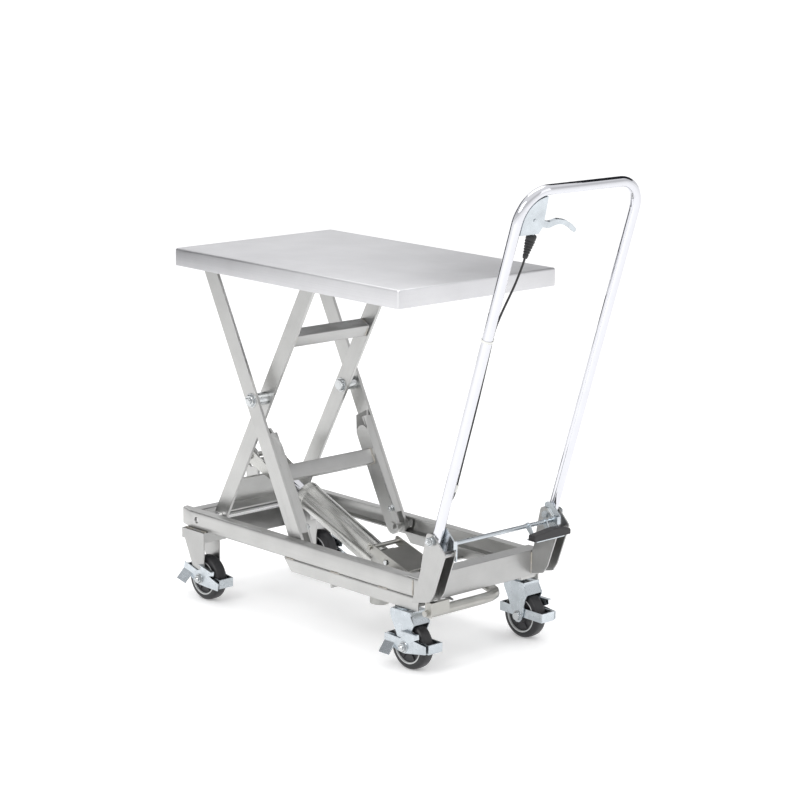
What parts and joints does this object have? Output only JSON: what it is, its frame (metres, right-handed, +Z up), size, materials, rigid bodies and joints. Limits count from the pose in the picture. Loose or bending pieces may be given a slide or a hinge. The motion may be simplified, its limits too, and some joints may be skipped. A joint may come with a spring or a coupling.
{
  "type": "mobile scissor lift table",
  "caption": "Foot-pumped scissor lift table on wheels, with a raised tray table, hydraulic ram, hooped push handle, hand lever and release cable.",
  "frame": {"origin": "on the floor, under the middle of the object's bounding box", "axes": "+Z up, +X toward the push handle, -Y on the release cable's side"},
  "size_m": [1.0358, 0.45, 1.0147],
  "materials": {
    "stainless": "satin brushed sheet steel",
    "chrome": "polished tube and rod",
    "zinc": "bluish zinc-plated fittings",
    "steel": "satin machined steel",
    "black_rubber": "matt black rubber",
    "black_plastic": "black moulded plastic",
    "white_plastic": "white nylon tie",
    "tyre": "black tyre"
  },
  "bodies": {
    "chassis": {"rail_left": "stainless", "rail_right": "stainless", "side_skirt_left": "stainless", "side_skirt_right": "stainless", "front_cross_plate": "stainless", "rear_crossbeam": "stainless", "tower_left": "stainless", "tower_right": "stainless", "base_pivot_shaft": "steel", "front_fork_left": "stainless", "front_fork_right": "stainless", "caster_plate_left": "stainless", "caster_plate_right": "stainless", "pump_bracket": "stainless", "release_cable_lower": "black_rubber"},
    "inner_arms": {"inner_arm_left": "stainless", "inner_arm_right": "stainless", "upper_cross_tube": "stainless", "lift_lever": "stainless"},
    "outer_arms": {"outer_arm_left": "stainless", "outer_arm_right": "stainless", "arm_stiffener_left": "stainless", "arm_stiffener_right": "stainless", "lower_cross_member": "stainless", "centre_pin_left": "zinc", "centre_pin_right": "zinc"},
    "table": {"table_top": "stainless", "table_channel_left": "stainless", "table_channel_right": "stainless"},
    "cylinder": {"cylinder_barrel": "steel", "pump_body": "steel"},
    "rod": {"cylinder_rod": "chrome", "rod_clevis": "steel"},
    "plunger": {"pump_plunger": "zinc"},
    "release_valve": {"release_valve_lever": "zinc"},
    "pedal": {"pedal_lever": "stainless", "pedal_pad": "stainless"},
    "handle": {"handle_tube": "chrome", "handle_bracket_left": "zinc", "handle_bracket_right": "zinc", "lever_bracket": "zinc", "cable_clip": "white_plastic", "release_cable_upper": "black_rubber"},
    "fold_latch": {"latch_rod": "zinc", "release_pedal": "black_plastic"},
    "hand_lever": {"hand_lever": "zinc"},
    "top_roller_left": {"top_roller_left": "steel"},
    "bottom_roller_left": {"bottom_roller_left": "steel"},
    "front_wheel_left": {"front_wheel_left": "tyre"},
    "front_brake_left": {"front_brake_left": "zinc"},
    "rear_fork_left": {"rear_fork_left": "stainless"},
    "rear_wheel_left": {"rear_wheel_left": "tyre"},
    "rear_brake_left": {"rear_brake_left": "zinc"},
    "top_roller_right": {"top_roller_right": "steel"},
    "bottom_roller_right": {"bottom_roller_right": "steel"},
    "front_wheel_right": {"front_wheel_right": "tyre"},
    "front_brake_right": {"front_brake_right": "zinc"},
    "rear_fork_right": {"rear_fork_right": "stainless"},
    "rear_wheel_right": {"rear_wheel_right": "tyre"},
    "rear_brake_right": {"rear_brake_right": "zinc"}
  },
  "joints": [
    {"name": "lift", "type": "hinge", "parent": "chassis", "child": "inner_arms", "pos_m": [-0.45524, 0, 0.175], "axis": [0, 1, 0], "range_deg": [0, 55.77]},
    {"name": "scissor_centre", "type": "hinge", "parent": "inner_arms", "child": "outer_arms", "pos_m": [-0.3012, 0, 0.4691], "axis": [0, 1, 0], "range_deg": [-111.54, 0]},
    {"name": "table_pivot", "type": "hinge", "parent": "outer_arms", "child": "table", "pos_m": [-0.45524, 0, 0.7632], "axis": [0, 1, 0], "range_deg": [0, 55.78]},
    {"name": "cylinder_tilt", "type": "hinge", "parent": "chassis", "child": "cylinder", "pos_m": [0.00426, 0, 0.117], "axis": [0, 1, 0], "range_deg": [-3.13, 0]},
    {"name": "rod_stroke", "type": "slide", "parent": "cylinder", "child": "rod", "axis": [-0.9242, 0, 0.382], "range_m": [-0.1178, 0]},
    {"name": "pedal_press", "type": "hinge", "parent": "chassis", "child": "pedal", "pos_m": [0.09426, 0, 0.135], "axis": [0, 1, 0], "range_deg": [0, 9], "stiffness_Nm_per_rad": 6, "springref_deg": -22.92},
    {"name": "plunger_stroke", "type": "slide", "parent": "cylinder", "child": "plunger", "axis": [0.3072, 0, 0.9516], "range_m": [0, 0.01356]},
    {"name": "handle_fold", "type": "hinge", "parent": "chassis", "child": "handle", "pos_m": [0.28937, 0, 0.28399], "axis": [0, -1, 0], "range_deg": [0, 20], "deforming": ["release_cable_lower"]},
    {"name": "fold_latch_press", "type": "hinge", "parent": "handle", "child": "fold_latch", "pos_m": [0.30726, 0, 0.275], "axis": [0, 1, 0], "range_deg": [0, 15], "stiffness_Nm_per_rad": 0.8, "springref_deg": -17.19},
    {"name": "hand_lever_pull", "type": "hinge", "parent": "handle", "child": "hand_lever", "pos_m": [0.49022, -0.125, 0.94798], "axis": [0.9572, 0, -0.2895], "range_deg": [0, 20], "stiffness_Nm_per_rad": 0.6, "springref_deg": -17.19},
    {"name": "valve_turn", "type": "hinge", "parent": "cylinder", "child": "release_valve", "pos_m": [0.03154, 0, 0.09923], "axis": [0.9242, 0, -0.382], "range_deg": [0, 25]},
    {"name": "top_roller_left_spin", "type": "hinge", "parent": "inner_arms", "child": "top_roller_left", "pos_m": [-0.14715, -0.1285, 0.7632], "axis": [0, 1, 0], "continuous": true},
    {"name": "bottom_roller_left_spin", "type": "hinge", "parent": "outer_arms", "child": "bottom_roller_left", "pos_m": [-0.14715, -0.164, 0.175], "axis": [0, 1, 0], "continuous": true},
    {"name": "front_wheel_left_spin", "type": "hinge", "parent": "chassis", "child": "front_wheel_left", "pos_m": [-0.43224, -0.165, 0.05], "axis": [0, 1, 0], "continuous": true},
    {"name": "front_brake_left_press", "type": "hinge", "parent": "chassis", "child": "front_brake_left", "pos_m": [-0.43224, -0.165, 0.05], "axis": [0, 1, 0], "range_deg": [0, 8]},
    {"name": "caster_left_swivel", "type": "hinge", "parent": "chassis", "child": "rear_fork_left", "pos_m": [0.19726, -0.165, 0.125], "axis": [0, 0, 1], "continuous": true},
    {"name": "rear_wheel_left_spin", "type": "hinge", "parent": "rear_fork_left", "child": "rear_wheel_left", "pos_m": [0.22226, -0.165, 0.05], "axis": [0, 1, 0], "continuous": true},
    {"name": "rear_brake_left_press", "type": "hinge", "parent": "rear_fork_left", "child": "rear_brake_left", "pos_m": [0.22226, -0.165, 0.05], "axis": [0, 1, 0], "range_deg": [0, 8]},
    {"name": "top_roller_right_spin", "type": "hinge", "parent": "inner_arms", "child": "top_roller_right", "pos_m": [-0.14715, 0.1285, 0.7632], "axis": [0, 1, 0], "continuous": true},
    {"name": "bottom_roller_right_spin", "type": "hinge", "parent": "outer_arms", "child": "bottom_roller_right", "pos_m": [-0.14715, 0.164, 0.175], "axis": [0, 1, 0], "continuous": true},
    {"name": "front_wheel_right_spin", "type": "hinge", "parent": "chassis", "child": "front_wheel_right", "pos_m": [-0.43224, 0.165, 0.05], "axis": [0, 1, 0], "continuous": true},
    {"name": "front_brake_right_press", "type": "hinge", "parent": "chassis", "child": "front_brake_right", "pos_m": [-0.43224, 0.165, 0.05], "axis": [0, 1, 0], "range_deg": [0, 8]},
    {"name": "caster_right_swivel", "type": "hinge", "parent": "chassis", "child": "rear_fork_right", "pos_m": [0.19726, 0.165, 0.125], "axis": [0, 0, 1], "continuous": true},
    {"name": "rear_wheel_right_spin", "type": "hinge", "parent": "rear_fork_right", "child": "rear_wheel_right", "pos_m": [0.22226, 0.165, 0.05], "axis": [0, 1, 0], "continuous": true},
    {"name": "rear_brake_right_press", "type": "hinge", "parent": "rear_fork_right", "child": "rear_brake_right", "pos_m": [0.22226, 0.165, 0.05], "axis": [0, 1, 0], "range_deg": [0, 8]}
  ],
  "couplings": [
    {"joint": "scissor_centre", "follows": "lift", "ratio": -2},
    {"joint": "table_pivot", "follows": "lift", "ratio": 1},
    {"joint": "cylinder_tilt", "follows": "lift", "ratio": -0.05616},
    {"joint": "rod_stroke", "follows": "lift", "m_per_rad": -0.12103},
    {"joint": "plunger_stroke", "follows": "pedal_press", "m_per_rad": 0.086259},
    {"joint": "valve_turn", "follows": "hand_lever_pull", "ratio": 1.25}
  ]
}
